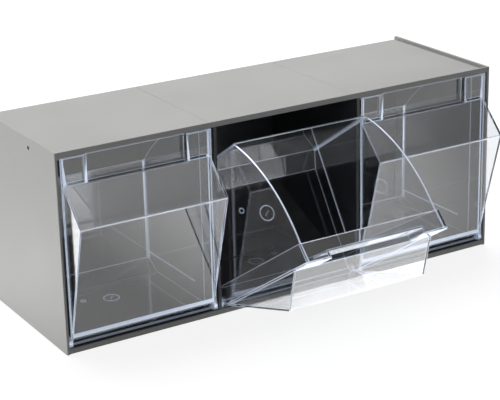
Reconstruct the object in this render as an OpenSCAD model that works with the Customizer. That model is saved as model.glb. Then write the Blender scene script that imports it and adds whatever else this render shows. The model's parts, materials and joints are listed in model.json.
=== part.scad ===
// Stackable cabinet with three clear tilt-out bins side by side.
// Millimetres, +X to the right, +Y to the back, +Z up.
// The origin is the centre of the cabinet's footprint on its resting surface.
// Profiles are written as [y, z] in the bay frame: y is 0 at the front plane of
// the cabinet and grows to the back, z is 0 at the resting surface.

/* [Cabinet] */

// Overall width, across the end walls
unit_w = 600; // [540:1:680]
// Overall height, up to the rim of the end walls
unit_h = 240; // [236:1:270]
// Depth of the cabinet, without the noses of the bins
unit_d = 197; // [190:1:240]
// Thickness of the end walls
side_t = 3.2; // [3:0.1:4]
// Thickness of the top, bottom and back plates
plate_t = 2; // [1.8:0.1:2.6]
// Thickness of the dividers
divider_t = 4; // [3.6:0.1:5]
// Height of the rim above the top plate
rim_rise = 4.4; // [3:0.1:6]
// Radius of the corners of the end walls
corner_r = 1.5; // [0.8:0.1:3]

/* [Rails and joints] */

// Thickness of the front rails
rail_t = 2.2; // [1.6:0.1:2.4]
// Height of the bottom front rail
bottom_rail_h = 6; // [4:0.1:6.2]
// Space under the bottom front rail
rail_lift = 1.2; // [0.8:0.1:1.6]
// Height of the feet under the bottom plate
foot_h = 3.2; // [2.6:0.1:3.6]
// Depth of the grooves in the end walls
groove_d = 1.2; // [0.8:0.1:1.4]
// Depth of the grooves in the plates
slot_d = 0.9; // [0.6:0.1:1]
// Play around a tongue in its groove
joint_play = 0.05; // [0.03:0.01:0.12]

/* [Hinge] */

// Distance of the hinge line behind the front plane
pivot_y = 8; // [7.8:0.1:9]
// Height of the hinge line
pivot_z = 12.5; // [12.3:0.1:14]
// Diameter of the hinge pins
pin_d = 6; // [5:0.1:6.4]
// Radial play of a boss on its pin
pin_play = 0.05; // [0.03:0.01:0.1]
// Radius of the hinge bosses
boss_r = 5.8; // [5.4:0.1:6]
// Angle of a fully open bin
open_angle = 57.5; // [30:0.5:57.5]
// Angle at which the middle bin stands
middle_tilt = 57.5; // [0:0.5:57.5]

/* [Bin fronts] */

// Gap between a bin and the walls of its bay
side_gap = 3.1; // [2.6:0.1:4]
// Wall thickness of the clear mouldings
wall = 2; // [1.6:0.1:2.2]
// Depth of the flange around a bin front
flange_d = 25; // [20:0.5:30]
// Width of the step from the flange in to the nose
nose_step = 1.5; // [1:0.1:2]
// Length of the nose in front of the cabinet
nose_length = 37; // [20:0.5:45]
// Height of the slope above the nose
slope_h = 39; // [30:0.5:50]
// Height of the upper band
band_h = 33.5; // [26:0.5:40]
// Half width of the recess in the band
recess_half = 63; // [40:0.5:64]
// Depth of the recess in the band
recess_d = 8; // [4:0.5:10]
// Height of the slots under the tabs
slot_h = 3; // [2:0.1:4]

/* [Trays] */

// Distance of the tray's back behind the front plane
tray_d = 165; // [130:0.5:168]
// Height of the tray's back wall
tray_back_z = 150; // [100:0.5:152]
// Length of the sloping rear corner of the floor
chamfer_l = 24; // [12:0.5:26]
// Height of the sloping rear corner of the floor
chamfer_h = 13.5; // [8:0.5:20]
// Radius of the folds of the sloping rear corner
fold_r = 2.5; // [2.3:0.1:6]
// Radius of the upright rear corners of the trays
tray_corner_r = 4.5; // [2.3:0.1:8]
// Height of the beads on the side walls above the floor
bead_rise = 20; // [14:0.5:30]
// Radius of the large moulding ring on the floor
ring_r = 10; // [6:0.5:12]
// Distance of the large moulding ring from the tray's back
ring_back = 65; // [50:0.5:90]
// Half length of the ribs that a closed tray rests on
rest_half = 60; // [30:0.5:80]

/* [Fixings] */

// Diameter of the holes for linking two cabinets side by side
link_d = 5; // [4:0.1:6]
// Distance of the linking holes behind the front plane
link_y = 70; // [40:0.5:120]
// Distance of the linking holes below the rim
link_drop = 12; // [10.5:0.1:13]
// Diameter of the wall screw holes
screw_d = 5; // [4:0.1:6]
// Height of the wall screw holes
screw_z = 200; // [170:0.5:215]

/* [Hidden] */

$fn = 64;
bays = 3;
side_in = unit_w / 2 - side_t;
bay_w = (2 * side_in - (bays - 1) * divider_t) / bays;
bay_pitch = bay_w + divider_t;

// Heights of the housing's plates
floor_z0 = foot_h;
floor_z1 = foot_h + plate_t;
roof_z1 = unit_h - rim_rise;
roof_z0 = roof_z1 - plate_t;
plate_end = unit_d - 0.5;
back_y0 = unit_d - 1.5 - plate_t;
back_y1 = back_y0 + plate_t;

// Tongues of the dividers
tongue_t = divider_t * 0.4;
tongue_l = slot_d - 0.05;
divider_y0 = 0.4;

// Play between a hood and the tray that is bonded into it
bond_play = 0.12;

// Widths of a bin, each as half of the whole
flange_half = bay_w / 2 - side_gap;
nose_half = flange_half - nose_step;
tray_half = nose_half - 1;
seat_half = tray_half + bond_play;
boss_half = bay_w / 2 - 0.7;
pin_half = boss_half - 3.7;
bore_half = pin_half - 0.3;

// Corners of the bin front, [y, z, rounding radius], anticlockwise
front_y = 0.6;
hood_z0 = floor_z1 + 1.4;
hood_z1 = roof_z0 - 0.6;
band_z = hood_z1 - band_h;
flange_drop = 5.1;
heel = [pivot_y + 1, hood_z0, 1];
toe = [pivot_y - 4.5, pivot_z + 2, 1];
hood_bottom = [flange_d, hood_z0, 0];
hood_back = [flange_d, hood_z1 - flange_drop, 0.8];
hood_top = [front_y, hood_z1, 1];
band_foot = [front_y, band_z, 0];
crest = [-nose_length, band_z - slope_h, 3];
flange_foot = [front_y, pivot_z + 5.5, 1];
hood_profile = [heel, hood_bottom, hood_back, hood_top, band_foot, crest, toe];
flange_profile = [heel, hood_bottom, hood_back, hood_top, flange_foot, toe];
nose_side_y = 3;
recess_y = front_y + recess_d;
slot_x0 = recess_half + 3;
slot_x1 = flange_half - 6.5;

// Stop heel of the hinge boss, which meets the floor when the bin is open
stop_gap = 0.4;
stop_r = pivot_z - floor_z1 - stop_gap;
stop_dir = 270 - open_angle;
stop_half = 1.25;

// Tray, whose top edge follows the swing about the hinge line
tray_z0 = hood_z0 + wall + bond_play;
tray_front_y = nose_side_y + 0.2;
pivot = [pivot_y, pivot_z];
rest_gap = 0.3;
bead_d = 0.6;
bead_w = 1.2;
rest_y = tray_d - chamfer_l - 7;

// Colours
housing_grey = [0.66, 0.66, 0.65];
inner_grey = [0.3, 0.3, 0.31];
clear = [0.8, 0.87, 0.95, 0.4];
pin_grey = [0.4, 0.4, 0.41];

// Unit vector along v
function unit(v) = v / norm(v);

// The [y, z] part of a corner
function flat(p) = [p[0], p[1]];

// Sine of the turn at b on the way a, b, c: above 0 where the outline is convex
function turn(a, b, c) =
  let (u = unit(b - a), v = unit(c - b))
  u[0] * v[1] - u[1] * v[0];

// Corner b moved inward by d from both of its edges, with its radius kept parallel
function inset_corner(a, b, c, r, d) =
  let (
    u = unit(b - a),
    v = unit(c - b),
    n = [-u[1], u[0]],
    m = [-v[1], v[0]],
    p = b + d * (n + m) / (1 + n * m),
    s = turn(a, b, c) > 0 ? max(r - d, 0) : r + d
  )
  [p[0], p[1], r > 0 ? s : 0];

// An anticlockwise outline moved inward by d
function inset(points, d) =
  let (n = len(points))
  [for (i = [0:n - 1])
    inset_corner(
      flat(points[(i + n - 1) % n]), flat(points[i]), flat(points[(i + 1) % n]),
      points[i][2], d
    )
  ];

// Points of the arc that rounds corner b with radius r
function corner_arc(a, b, c, r) =
  let (
    u = unit(a - b),
    v = unit(c - b),
    half = acos(u * v) / 2,
    centre = b + unit(u + v) * r / sin(half),
    from = b + u * r / tan(half) - centre,
    to = b + v * r / tan(half) - centre,
    a0 = atan2(from[1], from[0]),
    swing = (atan2(to[1], to[0]) - a0 + 540) % 360 - 180,
    steps = 6
  )
  [for (k = [0:steps]) centre + r * [cos(a0 + swing * k / steps), sin(a0 + swing * k / steps)]];

// Outline points with each corner rounded by its own radius
function rounded(points) =
  let (n = len(points))
  [for (i = [0:n - 1])
    let (
      a = flat(points[(i + n - 1) % n]),
      b = flat(points[i]),
      c = flat(points[(i + 1) % n]),
      r = points[i][2]
    )
    each (r > 0 ? corner_arc(a, b, c, r) : [b])
  ];

// Outline with every point in front of y moved back to y
function clip_front(points, y) = [for (p = points) [max(p[0], y), p[1]]];

// Outline with the points of the open rear side pushed back past the flange
function open_rear(points) = [for (p = points) p[0] > flange_d - wall - 0.01 ? [flange_d + 5, p[1]] : p];

// Extrusion of a [y, z] outline along X, centred
module along_x(w) {
  rotate([90, 0, 90])
    linear_extrude(height = w, center = true)
      children();
}

// Box between two corners
module block(low, high) {
  translate(low)
    cube(high - low);
}

// Cylinder along X from x0 to x1 on the hinge line
module hinge_rod(x0, x1, r) {
  translate([min(x0, x1), pivot_y, pivot_z])
    rotate([0, 90, 0])
      cylinder(h = abs(x1 - x0), r = r);
}

// Places a shape of the bay frame: i is -1, 0 or 1 for the left, middle and right bay
module in_bay(i, tilt = 0) {
  translate([i * bay_pitch, pivot_y - unit_d / 2, pivot_z])
    rotate([tilt, 0, 0])
      translate([0, -pivot_y, -pivot_z])
        children();
}

// Moves a shape with y counted from the front plane into the cabinet's frame
module from_front(x = 0) {
  translate([x, -unit_d / 2, 0])
    children();
}

// End wall: side is -1 for the left one, 1 for the right one
module side_panel(side) {
  outer = side * unit_w / 2;
  inner = side * side_in;
  bevel = 0.5;
  plan = [
    [inner, bevel], [inner + side * bevel, 0], [outer - side * bevel, 0], [outer, bevel],
    [outer, unit_d - bevel], [outer - side * bevel, unit_d], [inner, unit_d]
  ];
  outline = [
    [0, 0, corner_r], [unit_d, 0, corner_r], [unit_d, unit_h, corner_r], [0, unit_h, corner_r]
  ];
  groove_x = [min(inner, inner + side * groove_d), max(inner, inner + side * groove_d)];
  from_front()
    difference() {
      intersection() {
        linear_extrude(height = unit_h)
          polygon(plan);
        translate([(inner + outer) / 2, 0, 0])
          along_x(side_t + 1)
            polygon(rounded(outline));
      }
      // Grooves for the top plate, the bottom plate and the back panel
      groove(groove_x, [rail_t - joint_play, unit_d + 1], [roof_z0 - joint_play, roof_z1 + joint_play], side);
      groove(groove_x, [rail_t - joint_play, unit_d + 1], [floor_z0 - joint_play, floor_z1 + joint_play], side);
      groove(groove_x, [back_y0 - joint_play, back_y1 + joint_play], [floor_z0, roof_z1], side);
      // Blind seat of the hinge pin
      hinge_rod(inner - side, inner + side * (side_t - 0.8), pin_d / 2);
      // Hole for linking two cabinets
      translate([(inner + outer) / 2, link_y, unit_h - link_drop])
        rotate([0, 90, 0])
          cylinder(h = side_t + 2, d = link_d, center = true);
    }
}

// Groove of an end wall, open towards the inside of the cabinet
module groove(x, y, z, side) {
  block([x[0] - (side > 0 ? 1 : 0), y[0], z[0]], [x[1] + (side < 0 ? 1 : 0), y[1], z[1]]);
}

// Recessed top plate with the front rail
module top_panel() {
  from_front()
    difference() {
      union() {
        block([-side_in - groove_d, rail_t, roof_z0], [side_in + groove_d, plate_end, roof_z1]);
        block([-side_in, 0, roof_z0], [side_in, rail_t, unit_h]);
        // Fillet between the rail and the plate
        along_x(2 * side_in)
          polygon([[rail_t, roof_z1], [rail_t + 1, roof_z1], [rail_t, roof_z1 + 1]]);
      }
      for (side = [-1, 1]) {
        // Shallow seam over each divider, and the groove for its tongue
        block(
          [side * bay_pitch / 2 - 0.3, rail_t + 1, roof_z1 - 0.3],
          [side * bay_pitch / 2 + 0.3, unit_d, roof_z1 + 1]
        );
        divider_groove(side, roof_z0 - 1, roof_z0 + slot_d);
      }
      // Groove for the back panel
      block(
        [-side_in - groove_d - 1, back_y0 - joint_play, roof_z0 - 1],
        [side_in + groove_d + 1, back_y1 + joint_play, roof_z0 + slot_d]
      );
    }
}

// Groove in a plate for a divider's tongue
module divider_groove(side, z0, z1) {
  block(
    [side * bay_pitch / 2 - tongue_t / 2 - joint_play, 8, z0],
    [side * bay_pitch / 2 + tongue_t / 2 + joint_play, back_y0 + 1, z1]
  );
}

// Floor plate with the front rail, feet and the ribs that the closed trays rest on
module bottom_panel() {
  foot_x = side_in - 0.2;
  from_front()
    difference() {
      union() {
        block([-side_in - groove_d, rail_t, floor_z0], [side_in + groove_d, plate_end, floor_z1]);
        block([-side_in, 0, rail_lift], [side_in, rail_t, rail_lift + bottom_rail_h]);
        // Long feet under the middle and under each divider
        for (i = [-1, 0, 1])
          block([i * bay_pitch / 2 - 6, 20, 0], [i * bay_pitch / 2 + 6, unit_d - 20, floor_z0]);
        // Corner feet that locate the cabinet inside the rim of the one below
        for (side = [-1, 1], y = [3, unit_d - 15])
          block(
            [min(side * foot_x, side * (foot_x - 3.6)), y, 0],
            [max(side * foot_x, side * (foot_x - 3.6)), y + 12, floor_z0]
          );
        for (i = [-1, 0, 1])
          block(
            [i * bay_pitch - rest_half, rest_y, floor_z1],
            [i * bay_pitch + rest_half, rest_y + 3, tray_z0 - rest_gap]
          );
      }
      for (side = [-1, 1])
        divider_groove(side, floor_z1 - slot_d, floor_z1 + 1);
      block(
        [-side_in - groove_d - 1, back_y0 - joint_play, floor_z1 - slot_d],
        [side_in + groove_d + 1, back_y1 + joint_play, floor_z1 + 1]
      );
    }
}

// Rear wall, held in grooves on all four sides
module back_panel() {
  from_front()
    difference() {
      block(
        [-side_in - groove_d, back_y0, floor_z1 - slot_d],
        [side_in + groove_d, back_y1, roof_z0 + slot_d]
      );
      for (side = [-1, 1]) {
        translate([side * bay_pitch, back_y0 - 1, screw_z])
          rotate([-90, 0, 0])
            cylinder(h = plate_t + 2, d = screw_d);
        // Groove for the rear tongue of a divider
        block(
          [side * bay_pitch / 2 - tongue_t / 2 - joint_play, back_y0 - 1, floor_z1],
          [side * bay_pitch / 2 + tongue_t / 2 + joint_play, back_y0 + slot_d, roof_z0]
        );
      }
    }
}

// Wall between two bays: side is -1 for the left one, 1 for the right one
module divider(side) {
  notch_y = rail_t + joint_play;
  notch_z = rail_lift + bottom_rail_h + joint_play;
  from_front(side * bay_pitch / 2)
    difference() {
      union() {
        along_x(divider_t)
          polygon([
            [divider_y0, notch_z], [notch_y, notch_z], [notch_y, floor_z1],
            [back_y0, floor_z1], [back_y0, roof_z0], [divider_y0, roof_z0]
          ]);
        along_x(tongue_t)
          polygon([
            [10, floor_z1 - tongue_l], [back_y0 - 2, floor_z1 - tongue_l], [back_y0 - 2, floor_z1 + 4],
            [back_y0 + tongue_l, floor_z1 + 4], [back_y0 + tongue_l, roof_z0 - 4],
            [back_y0 - 2, roof_z0 - 4], [back_y0 - 2, roof_z0 + tongue_l], [10, roof_z0 + tongue_l]
          ]);
      }
      hinge_rod(-divider_t, divider_t, pin_d / 2);
    }
}

// Hinge pin along X from x0 to x1, with a lead-in at each end
module hinge_pin(x0, x1) {
  lead = 0.4;
  translate([x0, pivot_y - unit_d / 2, pivot_z])
    rotate([0, 90, 0])
      rotate_extrude()
        polygon([
          [0, 0], [pin_d / 2 - lead, 0], [pin_d / 2, lead],
          [pin_d / 2, x1 - x0 - lead], [pin_d / 2 - lead, x1 - x0], [0, x1 - x0]
        ]);
}

// Space that the recess in the upper band takes, grown by g for the walls around it
module recess_space(g) {
  block(
    [-recess_half - g, -nose_length, band_z - g],
    [recess_half + g, recess_y + g, unit_h]
  );
}

// Hinge boss with the heel that stops the open bin on the floor plate
module boss(side) {
  at = pivot + stop_r * [cos(stop_dir), sin(stop_dir)];
  across = [-sin(stop_dir), cos(stop_dir)];
  hinge_rod(side * seat_half, side * boss_half, boss_r);
  translate([side * (seat_half + boss_half) / 2, 0, 0])
    along_x(boss_half - seat_half)
      polygon([
        at - stop_half * across, at + stop_half * across,
        pivot + 4.5 * across, pivot - 4.5 * across
      ]);
}

// Clear bin front: flange, nose, upper band with its recess and slots, hinge bosses
module hood() {
  difference() {
    union() {
      along_x(2 * nose_half)
        polygon(rounded(hood_profile));
      along_x(2 * flange_half)
        polygon(rounded(flange_profile));
      for (side = [-1, 1])
        boss(side);
    }
    // Inside of the nose and of the flange, with the walls of the recess left standing
    difference() {
      union() {
        along_x(2 * (nose_half - wall))
          polygon(open_rear(rounded(inset(hood_profile, wall))));
        along_x(2 * seat_half)
          polygon(clip_front(open_rear(rounded(inset(flange_profile, wall))), nose_side_y));
      }
      recess_space(wall);
    }
    recess_space(0);
    for (side = [-1, 1]) {
      block(
        [min(side * slot_x0, side * slot_x1), front_y - 1, band_z + 0.7],
        [max(side * slot_x0, side * slot_x1), front_y + wall + 1, band_z + 0.7 + slot_h]
      );
      hinge_rod(side * bore_half, side * (boss_half + 1), pin_d / 2 + pin_play);
    }
  }
}

// Clear tray behind the bin front, open at the front and at the top
module tray() {
  roof_slope = flange_drop / (flange_d - front_y);
  roof_y0 = hood_z1 - wall * norm([1, roof_slope]) - 0.1;
  toe_in = flat(inset(flange_profile, wall)[5]);
  heel_in = flat(inset(flange_profile, wall)[0]);
  shoulder = [flange_d + 0.2, roof_y0 - roof_slope * (flange_d - front_y)];
  top_front = [tray_front_y, roof_y0 - roof_slope * (tray_front_y - front_y)];
  back_top = [tray_d, tray_back_z];
  a0 = atan2(shoulder[1] - pivot_z, shoulder[0] - pivot_y);
  a1 = atan2(back_top[1] - pivot_z, back_top[0] - pivot_y);
  r0 = norm(shoulder - pivot);
  r1 = norm(back_top - pivot);
  steps = 18;
  sweep_edge = [for (k = [0:steps])
    let (t = k / steps, a = a1 + (a0 - a1) * t)
    pivot + (r1 + (r0 - r1) * t) * [cos(a), sin(a)]
  ];
  floor_front = [heel_in[0] + 0.3, tray_z0];
  outline = concat(
    rounded_floor(floor_front, 0),
    sweep_edge,
    [top_front, [tray_front_y, toe_in[1] + 10], toe_in + [0.6, 0]]
  );
  hollow = concat(
    rounded_floor([-nose_length, tray_z0], wall),
    [[tray_d - wall, unit_h], [-nose_length, unit_h]]
  );
  difference() {
    intersection() {
      along_x(2 * tray_half)
        polygon(outline);
      rounded_rear(tray_half, tray_d, tray_corner_r);
    }
    intersection() {
      along_x(2 * (tray_half - wall))
        polygon(hollow);
      rounded_rear(tray_half - wall, tray_d - wall, tray_corner_r - wall);
    }
  }
  for (side = [-1, 1])
    side_bead(side);
  // Moulding marks on the floor
  floor_ring(5, tray_d - ring_back, ring_r, 1);
  floor_ring(-28, tray_d - ring_back + ring_r, ring_r * 0.35, 0.8);
}

// Floor of the tray from its front edge to the top of the sloping rear corner, raised by d
function rounded_floor(front, d) =
  let (
    rear = [[tray_d - chamfer_l, tray_z0], [tray_d, tray_z0 + chamfer_h]],
    a = rear[0],
    b = rear[1],
    low = inset_corner([front[0], tray_z0], a, b, fold_r, d),
    high = inset_corner(a, b, [tray_d, unit_h], fold_r, d)
  )
  concat(
    [[front[0], tray_z0 + d]],
    corner_arc([front[0], low[1]], flat(low), flat(high), low[2]),
    corner_arc(flat(low), flat(high), [high[0], unit_h], high[2])
  );

// Upright block of half width half that ends at y in two rounded corners
module rounded_rear(half, y, r) {
  front = -nose_length - 1;
  linear_extrude(height = unit_h + 1)
    polygon(concat(
      [[-half, front], [half, front]],
      corner_arc([half, front], [half, y], [-half, y], r),
      corner_arc([half, y], [-half, y], [-half, front], r)
    ));
}

// Thin bead along the inside of a side wall, from the back wall forward
module side_bead(side) {
  face = tray_half - wall;
  bead_z = tray_z0 + wall + bead_rise;
  block(
    [min(side * (face - bead_d), side * (face + 0.1)), flange_d + 20, bead_z],
    [max(side * (face - bead_d), side * (face + 0.1)), tray_d - wall + 0.1, bead_z + bead_w]
  );
}

// Raised ring on the tray's floor
module floor_ring(x, y, r, w) {
  translate([x, y, tray_z0 + wall - 0.1])
    difference() {
      cylinder(h = 0.6, r = r);
      translate([0, 0, -1])
        cylinder(h = 3, r = r - w);
    }
}

module side_panel_left() color(housing_grey) side_panel(-1);
module side_panel_right() color(housing_grey) side_panel(1);
module divider_left() color(inner_grey) divider(-1);
module divider_right() color(inner_grey) divider(1);
module hinge_pin_outer_left() color(pin_grey) hinge_pin(-side_in - side_t + 0.8, -bay_pitch - pin_half);
module hinge_pin_outer_right() color(pin_grey) hinge_pin(bay_pitch + pin_half, side_in + side_t - 0.8);
module hinge_pin_divider_left() color(pin_grey) hinge_pin(-bay_pitch + pin_half, -pin_half);
module hinge_pin_divider_right() color(pin_grey) hinge_pin(pin_half, bay_pitch - pin_half);
module hood_left() color(clear) in_bay(-1) hood();
module tray_left() color(clear) in_bay(-1) tray();
module hood_middle() color(clear) in_bay(0, middle_tilt) hood();
module tray_middle() color(clear) in_bay(0, middle_tilt) tray();
module hood_right() color(clear) in_bay(1) hood();
module tray_right() color(clear) in_bay(1) tray();

side_panel_left();
side_panel_right();
color(housing_grey) top_panel();
color(housing_grey) bottom_panel();
color(inner_grey) back_panel();
divider_left();
divider_right();
hinge_pin_outer_left();
hinge_pin_divider_left();
hinge_pin_divider_right();
hinge_pin_outer_right();
hood_left();
tray_left();
hood_middle();
tray_middle();
hood_right();
tray_right();
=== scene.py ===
"""Looks of a three-bin tilt-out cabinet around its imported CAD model."""

import json
import logging
import math
from dataclasses import dataclass, replace
from enum import Enum

import bpy
from mathutils import Matrix, Vector


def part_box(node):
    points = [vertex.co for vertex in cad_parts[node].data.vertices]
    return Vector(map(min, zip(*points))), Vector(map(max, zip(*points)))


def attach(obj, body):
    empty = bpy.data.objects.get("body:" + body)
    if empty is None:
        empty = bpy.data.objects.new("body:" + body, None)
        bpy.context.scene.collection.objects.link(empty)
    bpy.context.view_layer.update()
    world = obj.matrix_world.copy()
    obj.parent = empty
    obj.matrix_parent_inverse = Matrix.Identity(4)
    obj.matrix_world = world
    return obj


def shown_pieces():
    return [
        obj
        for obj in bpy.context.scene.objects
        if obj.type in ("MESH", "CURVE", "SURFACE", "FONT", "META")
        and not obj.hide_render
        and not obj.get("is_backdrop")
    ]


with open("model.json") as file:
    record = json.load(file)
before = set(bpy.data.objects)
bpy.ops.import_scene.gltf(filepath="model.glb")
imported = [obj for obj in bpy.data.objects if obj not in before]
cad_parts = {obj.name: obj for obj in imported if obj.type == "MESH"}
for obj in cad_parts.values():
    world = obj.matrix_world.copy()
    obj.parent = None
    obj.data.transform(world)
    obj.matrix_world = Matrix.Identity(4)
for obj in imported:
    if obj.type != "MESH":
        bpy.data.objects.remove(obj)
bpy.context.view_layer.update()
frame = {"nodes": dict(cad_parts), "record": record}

LOG = logging.getLogger("tilt_bins")

# Face attribute that marks the edge strips of the clear bins, which get a mirror finish and a
# painted glow.
EDGE_STRIP = "edge_strip"
# Mean angle to its neighbours at which a narrow face is marked in full.
FULL_TURN = math.radians(28)

Colour = tuple[float, float, float]
Place = tuple[float, float, float]


class Bay(Enum):
    """The three bays, named as in the CAD nodes."""

    LEFT = "left"
    MIDDLE = "middle"
    RIGHT = "right"


class Shading:
    """A node tree that is filled one node at a time."""

    def __init__(self, tree: bpy.types.NodeTree) -> None:
        """Start on an emptied tree."""
        self.tree = tree
        tree.nodes.clear()

    def add(self, kind: str, **values: object) -> bpy.types.Node:
        """Add a node.

        Args:
            kind: The node's Blender type name.
            values: Node properties, or input values where the name starts with in_.

        Returns:
            The new node.
        """
        node = self.tree.nodes.new(kind)
        for key, value in values.items():
            if key.startswith("in_"):
                node.inputs[key[3:].replace("_", " ")].default_value = value
            else:
                setattr(node, key, value)
        return node

    def link(self, source: bpy.types.NodeSocket, target: bpy.types.NodeSocket) -> None:
        """Join an output to an input."""
        self.tree.links.new(source, target)

    def span(
        self,
        source: bpy.types.NodeSocket,
        low: float,
        high: float,
        start: float = 0.0,
        end: float = 1.0,
    ) -> bpy.types.NodeSocket:
        """Map a value onto a range.

        Args:
            source: The value's socket.
            low: Result at start.
            high: Result at end.
            start: Lowest value read.
            end: Highest value read.

        Returns:
            The mapped value's socket.
        """
        node = self.add("ShaderNodeMapRange")
        node.inputs["From Min"].default_value = start
        node.inputs["From Max"].default_value = end
        node.inputs["To Min"].default_value = low
        node.inputs["To Max"].default_value = high
        self.link(source, node.inputs["Value"])
        return node.outputs["Result"]

    def noise(
        self, place: bpy.types.NodeSocket, size: float, detail: float
    ) -> bpy.types.NodeSocket:
        """Noise whose blobs have a given size.

        Args:
            place: The socket with the coordinates.
            size: Blob size in metres.
            detail: Octaves of finer noise.

        Returns:
            The noise value's socket.
        """
        node = self.add("ShaderNodeTexNoise")
        node.inputs["Scale"].default_value = 1.0 / size
        node.inputs["Detail"].default_value = detail
        self.link(place, node.inputs["Vector"])
        return node.outputs["Fac"]


@dataclass(frozen=True)
class GrainedPlastic:
    """Opaque moulded plastic with a fine leather-like grain.

    Sizes are in metres, and fleck_size is in grains. Behind a plane across Y the plastic takes a
    painted shade colour, which stands for the shade inside the cabinet.
    """

    name: str
    colour: Colour
    roughness: float = 0.5
    grain_size: float = 0.0007
    grain_depth: float = 0.00002
    grain_strength: float = 0.4
    fleck_size: float = 2.2
    fleck_share: float = 0.35
    cloud_size: float = 0.09
    cloud_depth: float = 0.04
    cloud_range: tuple[float, float] = (0.3, 0.7)
    cloud_mix: tuple[float, float] = (-0.1, 0.75)
    roughness_drift: tuple[float, float] = (-0.04, 0.06)
    ior: float = 1.5
    shine: float = 0.5
    # Painted shade: behind this Y plane the plastic takes the colour below, for the shade inside
    # the cabinet.
    shade_split_y: float = 1.0
    inside_shade_colour: Colour = (0.06, 0.06, 0.065)

    def material(self) -> bpy.types.Material:
        """Build the material.

        Returns:
            The finished material.
        """
        mat = bpy.data.materials.new(self.name)
        mat.use_nodes = True
        s = Shading(mat.node_tree)
        place = s.add("ShaderNodeTexCoord").outputs["Object"]
        cloud = s.noise(place, self.cloud_size, 3.0)
        fleck = s.noise(place, self.grain_size * self.fleck_size, 1.0)
        darker = (c * (1 - self.cloud_depth) for c in self.colour)
        lighter = (min(1, c * (1 + self.cloud_depth)) for c in self.colour)
        shade = s.add("ShaderNodeMix", data_type="RGBA", blend_type="MIX")
        shade.inputs["A"].default_value = (*darker, 1)
        shade.inputs["B"].default_value = (*lighter, 1)
        both = s.add("ShaderNodeMath", operation="MULTIPLY_ADD")
        both.inputs[1].default_value = self.fleck_share
        s.link(fleck, both.inputs[0])
        s.link(s.span(cloud, *self.cloud_mix, *self.cloud_range), both.inputs[2])
        s.link(both.outputs[0], shade.inputs["Factor"])
        cells = s.add("ShaderNodeTexVoronoi", feature="SMOOTH_F1")
        cells.inputs["Scale"].default_value = 1.0 / self.grain_size
        s.link(place, cells.inputs["Vector"])
        bump = s.add("ShaderNodeBump")
        bump.inputs["Distance"].default_value = self.grain_depth
        bump.inputs["Strength"].default_value = self.grain_strength
        s.link(cells.outputs["Distance"], bump.inputs["Height"])
        skin = s.add("ShaderNodeBsdfPrincipled")
        skin.inputs["IOR"].default_value = self.ior
        skin.inputs["Specular IOR Level"].default_value = self.shine
        s.link(self.split(s, place, shade.outputs["Result"]), skin.inputs["Base Color"])
        smooth, rough = (self.roughness + drift for drift in self.roughness_drift)
        s.link(s.span(cloud, smooth, rough, *self.cloud_range), skin.inputs["Roughness"])
        s.link(bump.outputs["Normal"], skin.inputs["Normal"])
        out = s.add("ShaderNodeOutputMaterial")
        s.link(skin.outputs["BSDF"], out.inputs["Surface"])
        return mat

    def split(
        self, s: Shading, place: bpy.types.NodeSocket, colour: bpy.types.NodeSocket
    ) -> bpy.types.NodeSocket:
        """Change to the painted shade colour behind the split plane, for the shade inside the
        cabinet.

        Args:
            s: The tree to add to.
            place: The socket with the object coordinates.
            colour: The colour in front of the plane.

        Returns:
            The colour's socket.
        """
        axes = s.add("ShaderNodeSeparateXYZ")
        s.link(place, axes.inputs["Vector"])
        behind = s.add("ShaderNodeMath", operation="GREATER_THAN")
        behind.inputs[1].default_value = self.shade_split_y
        s.link(axes.outputs["Y"], behind.inputs[0])
        both = s.add("ShaderNodeMix", data_type="RGBA", blend_type="MIX")
        both.inputs["B"].default_value = (*self.inside_shade_colour, 1)
        s.link(behind.outputs[0], both.inputs["Factor"])
        s.link(colour, both.inputs["A"])
        return both.outputs["Result"]


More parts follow.
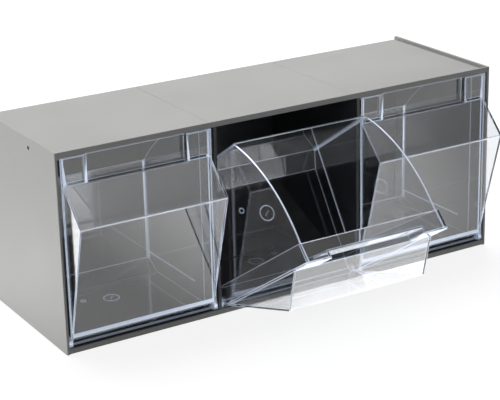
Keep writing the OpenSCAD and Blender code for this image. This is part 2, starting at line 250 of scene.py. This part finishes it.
@dataclass(frozen=True)
class ClearStyrene:
    """Clear glossy moulded plastic whose edge strips are mirror-like and carry a painted glow.

    The painted edge glow is a fixed emission that stands for the light a clear moulding gathers
    and lets out at its edges.
    The plastic is transparent, in the open_tint, to shadow and diffuse rays.
    """

    name: str
    tint: Colour = (0.97, 0.98, 1.0)
    edge_tint_and_glow: Colour = (0.74, 0.84, 1.0)
    edge_mirror: float = 0.78
    painted_edge_glow: float = 0.16
    edge_width: float = 0.0011
    edge_roughness: float = 0.42
    edge_bend: tuple[float, float] = (0.96, 0.997)
    open_tint: Colour = (0.93, 0.95, 0.97)
    ior: float = 1.59
    coat: float = 0.3
    haze: float = 0.01
    flow_size: float = 0.06
    flow_depth: float = 0.00002
    flow_stretch: Place = (1.0, 1.0, 0.35)
    flow_range: tuple[float, float] = (0.3, 0.7)

    def edge_mask(self, s: Shading) -> tuple[bpy.types.NodeSocket, bpy.types.NodeSocket]:
        """Find the strips along edges and corners.

        Args:
            s: The tree to add to.

        Returns:
            A value that is 1 on the strips and 0 elsewhere, and the rounded normal.
        """
        soft = s.add("ShaderNodeBevel", samples=4)
        soft.inputs["Radius"].default_value = self.edge_width
        shape = s.add("ShaderNodeNewGeometry")
        same = s.add("ShaderNodeVectorMath", operation="DOT_PRODUCT")
        s.link(soft.outputs["Normal"], same.inputs[0])
        s.link(shape.outputs["Normal"], same.inputs[1])
        strip = s.add("ShaderNodeAttribute", attribute_name=EDGE_STRIP)
        both = s.add("ShaderNodeMath", operation="MAXIMUM")
        s.link(s.span(same.outputs["Value"], 1.0, 0.0, *self.edge_bend), both.inputs[0])
        s.link(strip.outputs["Fac"], both.inputs[1])
        return both.outputs[0], soft.outputs["Normal"]

    def material(self) -> bpy.types.Material:
        """Build the material.

        Returns:
            The finished material.
        """
        mat = bpy.data.materials.new(self.name)
        mat.use_nodes = True
        s = Shading(mat.node_tree)
        place = s.add("ShaderNodeTexCoord").outputs["Object"]
        stretch = s.add("ShaderNodeMapping")
        stretch.inputs["Scale"].default_value = self.flow_stretch
        s.link(place, stretch.inputs["Vector"])
        flow = s.noise(stretch.outputs["Vector"], self.flow_size, 1.0)
        edge, soft = self.edge_mask(s)
        bump = s.add("ShaderNodeBump")
        bump.inputs["Distance"].default_value = self.flow_depth
        bump.inputs["Strength"].default_value = 1.0
        s.link(flow, bump.inputs["Height"])
        s.link(soft, bump.inputs["Normal"])
        tone = s.add("ShaderNodeMix", data_type="RGBA", blend_type="MIX")
        tone.inputs["A"].default_value = (*self.tint, 1)
        tone.inputs["B"].default_value = (*self.edge_tint_and_glow, 1)
        s.link(edge, tone.inputs["Factor"])
        smear = s.add("ShaderNodeMath", operation="MULTIPLY_ADD")
        smear.inputs[1].default_value = self.edge_roughness
        s.link(edge, smear.inputs[0])
        s.link(s.span(flow, 0.0, self.haze, *self.flow_range), smear.inputs[2])
        clear = s.add("ShaderNodeBsdfPrincipled")
        clear.inputs["IOR"].default_value = self.ior
        clear.inputs["Coat Weight"].default_value = self.coat
        clear.inputs["Coat Roughness"].default_value = 0.0
        clear.inputs["Transmission Weight"].default_value = 1.0
        s.link(tone.outputs["Result"], clear.inputs["Base Color"])
        s.link(s.span(edge, 0.0, self.edge_mirror), clear.inputs["Metallic"])
        s.link(smear.outputs[0], clear.inputs["Roughness"])
        # Painted glow: the edge strips emit light in the edge tint, though they are no lamp.
        clear.inputs["Emission Color"].default_value = (*self.edge_tint_and_glow, 1)
        s.link(s.span(edge, 0.0, self.painted_edge_glow), clear.inputs["Emission Strength"])
        s.link(bump.outputs["Normal"], clear.inputs["Normal"])
        open_ = s.add("ShaderNodeBsdfTransparent")
        open_.inputs["Color"].default_value = (*self.open_tint, 1)
        rays = s.add("ShaderNodeLightPath")
        lamp = s.add("ShaderNodeMath", operation="MAXIMUM")
        s.link(rays.outputs["Is Shadow Ray"], lamp.inputs[0])
        s.link(rays.outputs["Is Diffuse Ray"], lamp.inputs[1])
        mix = s.add("ShaderNodeMixShader")
        s.link(lamp.outputs[0], mix.inputs["Fac"])
        s.link(clear.outputs["BSDF"], mix.inputs[1])
        s.link(open_.outputs["BSDF"], mix.inputs[2])
        out = s.add("ShaderNodeOutputMaterial")
        s.link(mix.outputs["Shader"], out.inputs["Surface"])
        return mat


@dataclass(frozen=True)
class PaleFloor:
    """Matt floor that camera, mirror and glass rays see as near white.

    Each pool is a patch that mirror rays see brighter: X, Y, radius and extra glow. It has
    its full glow up to pool_core of its radius, and fades to its rim.
    """

    name: str
    colour: Colour = (0.3, 0.3, 0.3)
    glow: float = 0.86
    pools: tuple[tuple[float, float, float, float], ...] = (
        (0.08, -0.31, 0.30, 1.7),
        (-0.55, 0.12, 0.34, 2.0),
    )
    pool_core: float = 0.3

    def material(self) -> bpy.types.Material:
        """Build the material.

        Returns:
            The finished material.
        """
        mat = bpy.data.materials.new(self.name)
        mat.use_nodes = True
        s = Shading(mat.node_tree)
        matt = s.add("ShaderNodeBsdfDiffuse")
        matt.inputs["Color"].default_value = (*self.colour, 1)
        lit = s.add("ShaderNodeEmission")
        s.link(self.mirrored_glow(s), lit.inputs["Strength"])
        both = s.add("ShaderNodeAddShader")
        s.link(matt.outputs["BSDF"], both.inputs[0])
        s.link(lit.outputs["Emission"], both.inputs[1])
        out = s.add("ShaderNodeOutputMaterial")
        s.link(both.outputs["Shader"], out.inputs["Surface"])
        return mat

    def mirrored_glow(self, s: Shading) -> bpy.types.NodeSocket:
        """Glow of the floor, brighter in the pools for mirror rays.

        Args:
            s: The tree to add to.

        Returns:
            The glow's socket.
        """
        place = s.add("ShaderNodeTexCoord").outputs["Object"]
        rays = s.add("ShaderNodeLightPath")
        total = seen_rays(s, self.glow)
        for x, y, radius, extra in self.pools:
            far = s.add("ShaderNodeVectorMath", operation="DISTANCE")
            far.inputs[1].default_value = (x, y, 0)
            s.link(place, far.inputs[0])
            near = s.span(far.outputs["Value"], extra, 0.0, radius * self.pool_core, radius)
            seen = s.add("ShaderNodeMath", operation="MULTIPLY_ADD")
            s.link(near, seen.inputs[0])
            s.link(rays.outputs["Is Glossy Ray"], seen.inputs[1])
            s.link(total, seen.inputs[2])
            total = seen.outputs[0]
        return total


def seen_rays(s: Shading, strength: float) -> bpy.types.NodeSocket:
    """Strength that only camera, mirror and glass rays meet.

    Args:
        s: The tree to add to.
        strength: The strength on those rays.

    Returns:
        The strength's socket.
    """
    rays = s.add("ShaderNodeLightPath")
    total = rays.outputs["Is Camera Ray"]
    for name in ("Is Glossy Ray", "Is Transmission Ray"):
        most = s.add("ShaderNodeMath", operation="MAXIMUM")
        s.link(total, most.inputs[0])
        s.link(rays.outputs[name], most.inputs[1])
        total = most.outputs[0]
    return s.span(total, 0.0, strength)


def input_key(tree: bpy.types.NodeTree, name: str) -> str:
    """Identifier of a tree's input, by its name."""
    return tree.interface.items_tree[name].identifier


@dataclass(frozen=True)
class SoftEdges:
    """Small moulded radii on a CAD solid, with smooth curved faces.

    strip is the breadth under which a face counts as part of an edge strip.
    """

    radius: float = 0.0
    strip: float = 0.0
    crease: float = math.radians(32)
    segments: int = 2
    weld_gap: float = 0.00002
    flat_turn: float = math.radians(0.4)

    def apply(self, obj: bpy.types.Object) -> None:
        """Add the modifiers.

        Args:
            obj: The CAD node's object.
        """
        weld = obj.modifiers.new("weld", "WELD")
        weld.merge_threshold = self.weld_gap
        flat = obj.modifiers.new("flat_faces", "DECIMATE")
        flat.decimate_type = "DISSOLVE"
        flat.angle_limit = self.flat_turn
        if self.radius > 0:
            bevel = obj.modifiers.new("soft_edges", "BEVEL")
            bevel.width = self.radius
            bevel.segments = self.segments
            bevel.limit_method = "ANGLE"
            bevel.angle_limit = self.crease
            bevel.use_clamp_overlap = True
        if self.strip > 0:
            mark = obj.modifiers.new("edge_strips", "NODES")
            mark.node_group = edge_strips()
            mark[input_key(mark.node_group, "Width")] = self.strip
        smooth = obj.modifiers.new("smooth_faces", "NODES")
        smooth.node_group = smooth_faces()
        smooth[input_key(smooth.node_group, "Crease")] = self.crease
        even = obj.modifiers.new("even_faces", "WEIGHTED_NORMAL")
        even.mode = "FACE_AREA"
        even.weight = 100
        even.keep_sharp = True


def edge_strips() -> bpy.types.NodeTree:
    """Geometry Nodes tree that marks the narrow faces of rims and rounded folds.

    The mark grows with the mean angle at which such a face meets its neighbours.

    Returns:
        The tree, made once.
    """
    known = bpy.data.node_groups.get("edge_strips")
    if known:
        return known
    tree = bpy.data.node_groups.new("edge_strips", "GeometryNodeTree")
    face = tree.interface
    face.new_socket("Geometry", in_out="INPUT", socket_type="NodeSocketGeometry")
    face.new_socket("Width", in_out="INPUT", socket_type="NodeSocketFloat")
    face.new_socket("Geometry", in_out="OUTPUT", socket_type="NodeSocketGeometry")
    s = Shading(tree)
    start = s.add("NodeGroupInput")
    end = s.add("NodeGroupOutput")
    ends = s.add("GeometryNodeInputMeshEdgeVertices")
    length = s.add("ShaderNodeVectorMath", operation="DISTANCE")
    s.link(ends.outputs["Position 1"], length.inputs[0])
    s.link(ends.outputs["Position 2"], length.inputs[1])
    around = s.add("GeometryNodeEdgesOfCorner")
    side = s.add("GeometryNodeFieldAtIndex", domain="EDGE", data_type="FLOAT")
    s.link(length.outputs["Value"], side.inputs["Value"])
    s.link(around.outputs["Next Edge Index"], side.inputs["Index"])
    owner = s.add("GeometryNodeFaceOfCorner")
    total = s.add("GeometryNodeAccumulateField", domain="CORNER", data_type="FLOAT")
    s.link(side.outputs["Value"], total.inputs["Value"])
    s.link(owner.outputs["Face Index"], total.inputs["Group ID"])
    outline = s.add("GeometryNodeFieldOnDomain", domain="CORNER", data_type="FLOAT")
    s.link(total.outputs["Total"], outline.inputs["Value"])
    angle = s.add("GeometryNodeInputMeshEdgeAngle")
    turned = s.add("ShaderNodeMath", operation="MULTIPLY")
    s.link(length.outputs["Value"], turned.inputs[0])
    s.link(angle.outputs["Unsigned Angle"], turned.inputs[1])
    bend = s.add("GeometryNodeFieldAtIndex", domain="EDGE", data_type="FLOAT")
    s.link(turned.outputs[0], bend.inputs["Value"])
    s.link(around.outputs["Next Edge Index"], bend.inputs["Index"])
    bends = s.add("GeometryNodeAccumulateField", domain="CORNER", data_type="FLOAT")
    s.link(bend.outputs["Value"], bends.inputs["Value"])
    s.link(owner.outputs["Face Index"], bends.inputs["Group ID"])
    folded = s.add("GeometryNodeFieldOnDomain", domain="CORNER", data_type="FLOAT")
    s.link(bends.outputs["Total"], folded.inputs["Value"])
    turn = s.add("ShaderNodeMath", operation="DIVIDE")
    s.link(folded.outputs["Value"], turn.inputs[0])
    s.link(outline.outputs["Value"], turn.inputs[1])
    area = s.add("GeometryNodeInputMeshFaceArea")
    double = s.add("ShaderNodeMath", operation="MULTIPLY")
    double.inputs[1].default_value = 2.0
    s.link(area.outputs["Area"], double.inputs[0])
    breadth = s.add("ShaderNodeMath", operation="DIVIDE")
    s.link(double.outputs[0], breadth.inputs[0])
    s.link(outline.outputs["Value"], breadth.inputs[1])
    narrow = s.add("ShaderNodeMath", operation="LESS_THAN")
    s.link(breadth.outputs[0], narrow.inputs[0])
    s.link(start.outputs["Width"], narrow.inputs[1])
    bright = s.add("ShaderNodeMath", operation="MULTIPLY")
    s.link(narrow.outputs[0], bright.inputs[0])
    s.link(s.span(turn.outputs[0], 0.0, 1.0, 0.0, FULL_TURN), bright.inputs[1])
    store = s.add("GeometryNodeStoreNamedAttribute", domain="FACE", data_type="FLOAT")
    store.inputs["Name"].default_value = EDGE_STRIP
    s.link(start.outputs["Geometry"], store.inputs["Geometry"])
    s.link(bright.outputs[0], store.inputs["Value"])
    s.link(store.outputs["Geometry"], end.inputs["Geometry"])
    return tree


def smooth_faces() -> bpy.types.NodeTree:
    """Geometry Nodes tree that smooths faces up to a crease angle.

    Returns:
        The tree, made once.
    """
    known = bpy.data.node_groups.get("smooth_faces")
    if known:
        return known
    tree = bpy.data.node_groups.new("smooth_faces", "GeometryNodeTree")
    face = tree.interface
    face.new_socket("Geometry", in_out="INPUT", socket_type="NodeSocketGeometry")
    face.new_socket("Crease", in_out="INPUT", socket_type="NodeSocketFloat")
    face.new_socket("Geometry", in_out="OUTPUT", socket_type="NodeSocketGeometry")
    s = Shading(tree)
    start = s.add("NodeGroupInput")
    end = s.add("NodeGroupOutput")
    faces = s.add("GeometryNodeSetShadeSmooth", domain="FACE")
    edges = s.add("GeometryNodeSetShadeSmooth", domain="EDGE")
    edges.inputs["Shade Smooth"].default_value = False
    angle = s.add("GeometryNodeInputMeshEdgeAngle")
    over = s.add("FunctionNodeCompare", data_type="FLOAT", operation="GREATER_THAN")
    s.link(angle.outputs["Unsigned Angle"], over.inputs[0])
    s.link(start.outputs["Crease"], over.inputs[1])
    s.link(start.outputs["Geometry"], faces.inputs["Geometry"])
    s.link(faces.outputs["Geometry"], edges.inputs["Geometry"])
    s.link(over.outputs["Result"], edges.inputs["Selection"])
    s.link(edges.outputs["Geometry"], end.inputs["Geometry"])
    return tree


def dress(node: str, edges: SoftEdges, material: bpy.types.Material) -> None:
    """Give a CAD node its finish and soft edges.

    Args:
        node: The CAD node's name.
        edges: How its edges are softened and marked.
        material: Its finish.
    """
    obj = frame["nodes"][node]
    obj.data.materials.clear()
    obj.data.materials.append(material)
    edges.apply(obj)
    LOG.info("dressed %s with %s", node, material.name)


@dataclass
class Housing:
    """The open-fronted cabinet: panels, dividers and hinge pins.

    The bottom panel is pale over the thickness of its front rail, and painted dark behind it as
    shade inside the cabinet.
    The inner parts are a darker grey, deepened to near-black as painted shade.
    """

    edge: float = 0.0005
    pin_edge: float = 0.0003
    rail: float = 0.0025
    shell: GrainedPlastic = GrainedPlastic("housing_grey_grained", (0.49, 0.488, 0.482))
    # Inner parts: their darker grey plastic, deepened to near-black as painted shade of the
    # cabinet's inside.
    inner: GrainedPlastic = GrainedPlastic(
        "inner_grey_with_painted_shade", (0.06, 0.06, 0.065), roughness=0.42
    )
    pin: GrainedPlastic = GrainedPlastic(
        "pin_grey_smooth", (0.3, 0.3, 0.31), roughness=0.4, grain_size=0.0012, grain_depth=0.00001
    )
    panels: tuple[str, ...] = ("side_panel_left", "side_panel_right", "top_panel")
    inners: tuple[str, ...] = ("back_panel", "divider_left", "divider_right")
    pins: tuple[str, ...] = ("outer_left", "divider_left", "divider_right", "outer_right")

    def build(self) -> None:
        """Dress every fixed part."""
        shell, inner, pin = self.shell.material(), self.inner.material(), self.pin.material()
        for name in self.panels:
            dress(name, SoftEdges(self.edge), shell)
        # Painted shade: the bottom panel turns dark behind its front rail, inside the cabinet.
        shade_split_y = Vector(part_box("bottom_panel")[0]).y + self.rail
        floor = replace(self.shell, name="housing_grey_painted_shade_inside", shade_split_y=shade_split_y)
        dress("bottom_panel", SoftEdges(self.edge), floor.material())
        for name in self.inners:
            dress(name, SoftEdges(self.edge), inner)
        for name in self.pins:
            dress("hinge_pin_" + name, SoftEdges(self.pin_edge), pin)


def gate_nubs() -> bpy.types.NodeTree:
    """Geometry Nodes tree that sets a low dome on every point of a mesh.

    Returns:
        The tree, made once.
    """
    known = bpy.data.node_groups.get("gate_nubs")
    if known:
        return known
    tree = bpy.data.node_groups.new("gate_nubs", "GeometryNodeTree")
    face = tree.interface
    face.new_socket("Geometry", in_out="INPUT", socket_type="NodeSocketGeometry")
    for name in ("Radius", "Rise", "Tilt"):
        face.new_socket(name, in_out="INPUT", socket_type="NodeSocketFloat")
    face.new_socket("Finish", in_out="INPUT", socket_type="NodeSocketMaterial")
    face.new_socket("Geometry", in_out="OUTPUT", socket_type="NodeSocketGeometry")
    s = Shading(tree)
    start = s.add("NodeGroupInput")
    end = s.add("NodeGroupOutput")
    dome = s.add("GeometryNodeMeshUVSphere")
    dome.inputs["Segments"].default_value = 24
    dome.inputs["Rings"].default_value = 12
    s.link(start.outputs["Radius"], dome.inputs["Radius"])
    squash = s.add("ShaderNodeMath", operation="DIVIDE")
    s.link(start.outputs["Rise"], squash.inputs[0])
    s.link(start.outputs["Radius"], squash.inputs[1])
    scale = s.add("ShaderNodeCombineXYZ")
    scale.inputs["X"].default_value = 1.0
    scale.inputs["Y"].default_value = 1.0
    s.link(squash.outputs[0], scale.inputs["Z"])
    turn = s.add("ShaderNodeCombineXYZ")
    s.link(start.outputs["Tilt"], turn.inputs["X"])
    spread = s.add("GeometryNodeInstanceOnPoints")
    s.link(start.outputs["Geometry"], spread.inputs["Points"])
    s.link(dome.outputs["Mesh"], spread.inputs["Instance"])
    s.link(turn.outputs["Vector"], spread.inputs["Rotation"])
    s.link(scale.outputs["Vector"], spread.inputs["Scale"])
    real = s.add("GeometryNodeRealizeInstances")
    s.link(spread.outputs["Instances"], real.inputs["Geometry"])
    round_ = s.add("GeometryNodeSetShadeSmooth", domain="FACE")
    s.link(real.outputs["Geometry"], round_.inputs["Geometry"])
    paint = s.add("GeometryNodeSetMaterial")
    s.link(round_.outputs["Geometry"], paint.inputs["Geometry"])
    s.link(start.outputs["Finish"], paint.inputs["Material"])
    s.link(paint.outputs["Geometry"], end.inputs["Geometry"])
    return tree


@dataclass
class TiltBin:
    """One clear bin: its hood, its tray and the gate nubs on the tray's floor.

    ring is the centre of the moulding ring on the tray's floor, from the bay's middle and
    from the cabinet's front.
    """

    bay: Bay
    clear: bpy.types.Material
    wall: float = 0.002
    strip: float = 0.0025
    nub_radius: float = 0.0011
    nub_rise: float = 0.0007
    ring: tuple[float, float] = (0.005, 0.1)
    nub_spread: float = 0.0022

    def joint(self) -> dict:
        """The record's hinge of this bin."""
        joints = frame["record"]["behaviour"]["joints"]
        return next(j for j in joints if j["child"] == f"bin_{self.bay.value}")

    def tilt(self) -> float:
        """Angle in radians at which this bin stands at rest."""
        return math.radians(-self.joint()["range_deg"][0])

    def nub_places(self) -> list[Vector]:
        """Places of the nubs on the tray's floor, in a row through the ring's centre.

        Returns:
            The places, in the cabinet's frame, with the bin at its resting angle.
        """
        hinge = Vector(self.joint()["pos_m"])
        front = Vector(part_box("side_panel_left")[0]).y
        floor = Vector(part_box("tray_left")[0]).z + self.wall
        turn = Matrix.Rotation(self.tilt(), 3, "X")
        x, y = self.ring
        steps = (-self.nub_spread, 0.0, self.nub_spread)
        flat = [Vector((x + d, front + y + d - hinge.y, floor - hinge.z)) for d in steps]
        return [hinge + turn @ place for place in flat]

    def gate_nub_piece(self) -> bpy.types.Object:
        """Make the small domes left by the moulding gates.

        Returns:
            The finished piece.
        """
        name = f"gate_nubs_{self.bay.value}"
        points = bpy.data.meshes.new(name + "_points")
        points.from_pydata(self.nub_places(), [], [])
        source = bpy.data.objects.new(name + "_source", points)
        bpy.context.scene.collection.objects.link(source)
        grow = source.modifiers.new("gate_nubs", "NODES")
        grow.node_group = gate_nubs()
        values = {
            "Radius": self.nub_radius,
            "Rise": self.nub_rise,
            "Tilt": self.tilt(),
            "Finish": self.clear,
        }
        for key, value in values.items():
            grow[input_key(grow.node_group, key)] = value
        shape = source.evaluated_get(bpy.context.evaluated_depsgraph_get())
        piece = bpy.data.objects.new(name, bpy.data.meshes.new_from_object(shape))
        bpy.data.objects.remove(source)
        bpy.data.meshes.remove(points)
        bpy.context.scene.collection.objects.link(piece)
        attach(piece, f"bin_{self.bay.value}")
        return piece

    def build(self) -> None:
        """Dress the hood and the tray, and add the gate nubs."""
        for part in ("hood", "tray"):
            dress(f"{part}_{self.bay.value}", SoftEdges(strip=self.strip), self.clear)
        LOG.info("made %s", self.gate_nub_piece().name)


@dataclass(frozen=True)
class SoftBox:
    """A rectangular lamp: where it hangs, the point it faces, its size and its watts."""

    name: str
    place: Place
    aim: Place
    size: tuple[float, float]
    power: float

    def hang(self) -> None:
        """Add the lamp to the scene."""
        data = bpy.data.lights.new(self.name, "AREA")
        data.shape = "RECTANGLE"
        data.size, data.size_y = self.size
        data.energy = self.power
        obj = bpy.data.objects.new(self.name, data)
        obj.location = self.place
        ahead = Vector(self.aim) - Vector(self.place)
        obj.rotation_euler = ahead.to_track_quat("-Z", "Y").to_euler()
        bpy.context.scene.collection.objects.link(obj)


@dataclass
class Studio:
    """Floor, lamps, world and camera.

    Angles are in degrees. Camera rays see a white sky, and matt faces a dim one (ambient).
    Mirror and glass rays see it fade between the dusk heights, from white at the horizon to
    the dome's glow, with a soft box in it, whose edge is given as cosines.
    """

    place: Place = (-0.9723, -1.6260, 0.7802)
    yaw: float = 30.97
    pitch: float = 19.88
    roll: float = -1.42
    lens: float = 116.45
    sensor: float = 36.0
    clip: tuple[float, float] = (0.02, 100.0)
    floor_size: float = 30.0
    floor_drop: float = 0.0002
    ambient: float = 0.25
    dusk: tuple[float, float] = (8.0, 26.0)
    dome: float = 0.06
    soft_box: Place = (0.25, -0.15, 0.956)
    soft_box_glow: float = 1.7
    soft_box_edge: tuple[float, float] = (0.85, 0.97)
    lamps: tuple[SoftBox, ...] = (
        SoftBox("top_box", (0.1, 1.1, 2.1), (0, 0.05, 0.2), (2.4, 1.6), 48),
        SoftBox("low_left_box", (-1.5, 0.35, 0.12), (-0.3, 0.05, 0.11), (1.6, 0.2), 8),
    )

    def camera(self) -> None:
        """Set the camera where the photograph was taken from."""
        yaw, pitch, roll = (math.radians(a) for a in (self.yaw, self.pitch, self.roll))
        ahead = Vector(
            (math.sin(yaw) * math.cos(pitch), math.cos(yaw) * math.cos(pitch), -math.sin(pitch))
        )
        level = Vector((math.cos(yaw), -math.sin(yaw), 0))
        above = level.cross(ahead)
        right = level * math.cos(roll) + above * math.sin(roll)
        top = above * math.cos(roll) - level * math.sin(roll)
        data = bpy.data.cameras.new("camera")
        data.lens = self.lens
        data.sensor_width = self.sensor
        data.sensor_fit = "HORIZONTAL"
        data.clip_start, data.clip_end = self.clip
        obj = bpy.data.objects.new("camera", data)
        turn = Matrix((right, top, -ahead)).transposed().to_4x4()
        obj.matrix_world = Matrix.Translation(Vector(self.place)) @ turn
        bpy.context.scene.collection.objects.link(obj)
        bpy.context.scene.camera = obj

    def world(self) -> None:
        """Set the sky as each kind of ray sees it."""
        world = bpy.data.worlds.new("studio")
        world.use_nodes = True
        bpy.context.scene.world = world
        s = Shading(world.node_tree)
        rays = s.add("ShaderNodeLightPath")
        toward = s.add("ShaderNodeTexCoord").outputs["Generated"]
        height = s.add("ShaderNodeSeparateXYZ")
        s.link(toward, height.inputs["Vector"])
        low, high = (math.sin(math.radians(a)) for a in self.dusk)
        facing = s.add("ShaderNodeVectorMath", operation="DOT_PRODUCT")
        s.link(toward, facing.inputs[0])
        facing.inputs[1].default_value = Vector(self.soft_box).normalized()
        box = s.span(facing.outputs["Value"], 0.0, self.soft_box_glow, *self.soft_box_edge)
        dome = s.add("ShaderNodeMath", operation="ADD")
        s.link(s.span(height.outputs["Z"], 1.0, self.dome, low, high), dome.inputs[0])
        s.link(box, dome.inputs[1])
        mirrored = s.add("ShaderNodeMix", data_type="FLOAT")
        mirrored.inputs["A"].default_value = self.ambient
        s.link(seen_rays(s, 1.0), mirrored.inputs["Factor"])
        s.link(dome.outputs[0], mirrored.inputs["B"])
        seen = s.add("ShaderNodeMix", data_type="FLOAT")
        seen.inputs["B"].default_value = 1.0
        s.link(rays.outputs["Is Camera Ray"], seen.inputs["Factor"])
        s.link(mirrored.outputs["Result"], seen.inputs["A"])
        sky = s.add("ShaderNodeBackground")
        s.link(seen.outputs["Result"], sky.inputs["Strength"])
        out = s.add("ShaderNodeOutputWorld")
        s.link(sky.outputs["Background"], out.inputs["Surface"])

    def floor(self) -> None:
        """Lay the floor."""
        half = self.floor_size / 2
        mesh = bpy.data.meshes.new("floor")
        corners = [(-half, -half, 0), (half, -half, 0), (half, half, 0), (-half, half, 0)]
        drop = Vector((0, 0, self.floor_drop))
        mesh.from_pydata([Vector(c) - drop for c in corners], [], [(0, 1, 2, 3)])
        mesh.materials.append(PaleFloor("pale_floor").material())
        obj = bpy.data.objects.new("floor", mesh)
        bpy.context.scene.collection.objects.link(obj)
        obj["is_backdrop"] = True

    def build(self) -> None:
        """Set up the whole studio."""
        self.camera()
        self.world()
        self.floor()
        for lamp in self.lamps:
            lamp.hang()
        bpy.context.scene.view_settings.view_transform = "Standard"


def main() -> None:
    """Build and dress everything in order."""
    logging.basicConfig(level=logging.INFO, format="%(message)s")
    Studio().build()
    Housing().build()
    clear = ClearStyrene("clear_styrene_glossy").material()
    for bay in Bay:
        TiltBin(bay, clear).build()
    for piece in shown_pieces():
        LOG.info("piece %s", piece.name)


if __name__ == "__main__":
    main()
